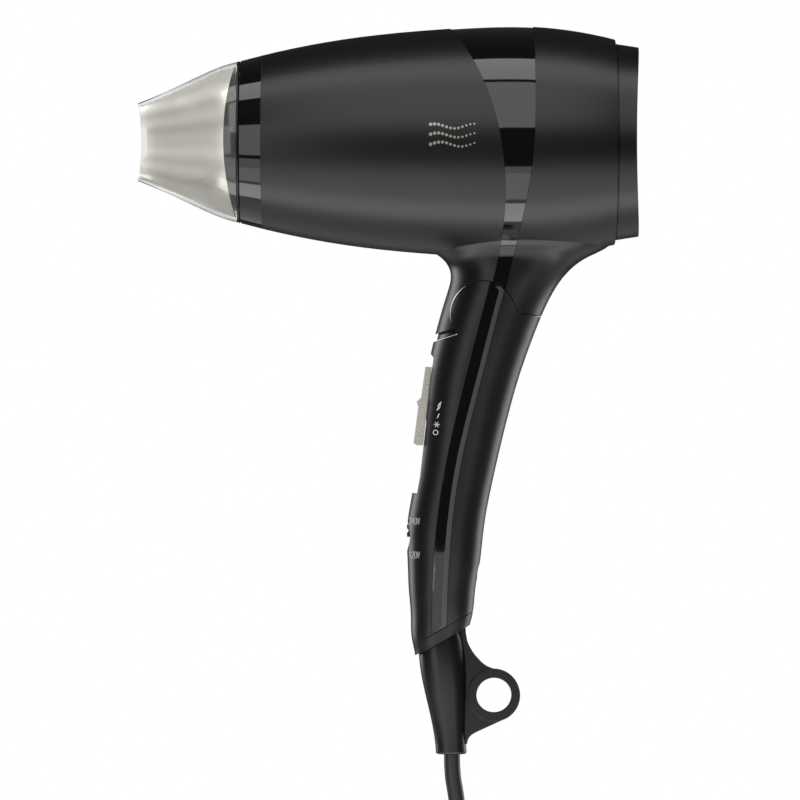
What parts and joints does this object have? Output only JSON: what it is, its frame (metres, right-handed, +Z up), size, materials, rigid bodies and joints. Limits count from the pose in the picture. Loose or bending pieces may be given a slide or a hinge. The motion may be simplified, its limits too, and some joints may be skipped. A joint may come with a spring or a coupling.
{
  "type": "travel hair dryer",
  "caption": "Folding travel hair dryer with a turning clear nozzle, pull-off rear filter cover, heat slider, voltage selector, hanging loop and tied mains cord.",
  "frame": {"origin": "centre of the hand grip, in the middle of the handle", "axes": "+Z up the handle to the barrel, -X the way the air blows, +Y the dryer's left side as the user aims it along -X"},
  "size_m": [0.18, 0.0832, 0.4894],
  "materials": {
    "casing_black": "fine textured matt black moulding",
    "trim_gloss": "polished black",
    "clear_shell": "clear moulded plastic",
    "champagne": "champagne satin",
    "slider_champagne": "champagne silver metallic plastic",
    "inner_dark": "dark heat-resistant plastic",
    "white_plastic": "pale switch and duct plastic",
    "steel": "plain steel",
    "coil_wire": "resistance wire",
    "mica": "mica board",
    "brass": "turned brass",
    "board": "phenolic circuit board",
    "rubber_black": "soft black rubber",
    "cord_black": "black cord sheath",
    "tie_fabric": "hook and loop strap",
    "copper": "copper winding"
  },
  "bodies": {
    "handle": {"handle_front_shell": "casing_black", "handle_rear_shell": "casing_black", "handle_strip_right": "trim_gloss", "handle_strip_left": "trim_gloss", "hinge_pins": "steel", "heat_switch": "white_plastic", "voltage_switch": "white_plastic", "circuit_board": "board", "suppression_capacitor": "white_plastic", "rectifier_diodes": "inner_dark", "choke_coil": "copper", "handle_screw": "steel", "end_collar": "casing_black", "cord_boot": "rubber_black", "cord_clamp": "white_plastic", "cord_inside": "cord_black", "supply_wires": "copper", "cord_drop": "cord_black", "cord_hank": "cord_black", "cord_tie": "tie_fabric", "cord_tail": "cord_black", "plug_body": "rubber_black", "plug_pins": "brass"},
    "barrel": {"barrel_front_shell": "casing_black", "barrel_rear_shell": "casing_black", "barrel_trim_band": "trim_gloss", "outlet_ring": "trim_gloss", "outlet_grille": "inner_dark", "air_duct": "white_plastic", "mica_tube": "mica", "mica_cross": "mica", "heating_coils": "coil_wire", "thermal_cutout": "steel", "thermal_fuse": "steel", "motor_mount": "inner_dark", "motor_can": "steel", "motor_magnets": "inner_dark", "motor_bushes": "brass", "motor_leads": "copper", "inlet_guard": "inner_dark", "hinge_yoke": "steel", "hinge_bushes": "brass", "yoke_screws": "steel", "barrel_screws": "steel"},
    "rotor": {"motor_shaft": "steel", "motor_armature": "copper", "fan_impeller": "inner_dark"},
    "rear_cover": {"rear_cover": "casing_black", "filter_mesh": "inner_dark"},
    "nozzle_clip": {"nozzle_clip_ring": "inner_dark"},
    "nozzle": {"nozzle_shell": "clear_shell", "nozzle_insert": "champagne"},
    "heat_slider": {"heat_slider": "slider_champagne", "slider_carrier": "white_plastic"},
    "voltage_selector": {"voltage_selector": "inner_dark"}
  },
  "joints": [
    {"name": "barrel_fold", "type": "hinge", "parent": "handle", "child": "barrel", "pos_m": [0.0099, 0, 0.0562], "axis": [0, -1, 0], "range_deg": [0, 80]},
    {"name": "fan_spin", "type": "hinge", "parent": "barrel", "child": "rotor", "pos_m": [0.04, 0, 0.118], "axis": [1, 0, 0], "continuous": true},
    {"name": "nozzle_pull", "type": "slide", "parent": "barrel", "child": "nozzle_clip", "axis": [-1, 0, 0], "range_m": [0, 0.03]},
    {"name": "nozzle_turn", "type": "hinge", "parent": "nozzle_clip", "child": "nozzle", "pos_m": [-0.08, 0, 0.118], "axis": [-1, 0, 0], "continuous": true},
    {"name": "rear_cover_pull", "type": "slide", "parent": "barrel", "child": "rear_cover", "axis": [1, 0, 0], "range_m": [0, 0.02]},
    {"name": "heat_slide", "type": "slide", "parent": "handle", "child": "heat_slider", "axis": [-0.1113, 0, -0.9938], "range_m": [0, 0.0098]},
    {"name": "voltage_slide", "type": "slide", "parent": "handle", "child": "voltage_selector", "axis": [0, 0, -1], "range_m": [0, 0.004]}
  ]
}
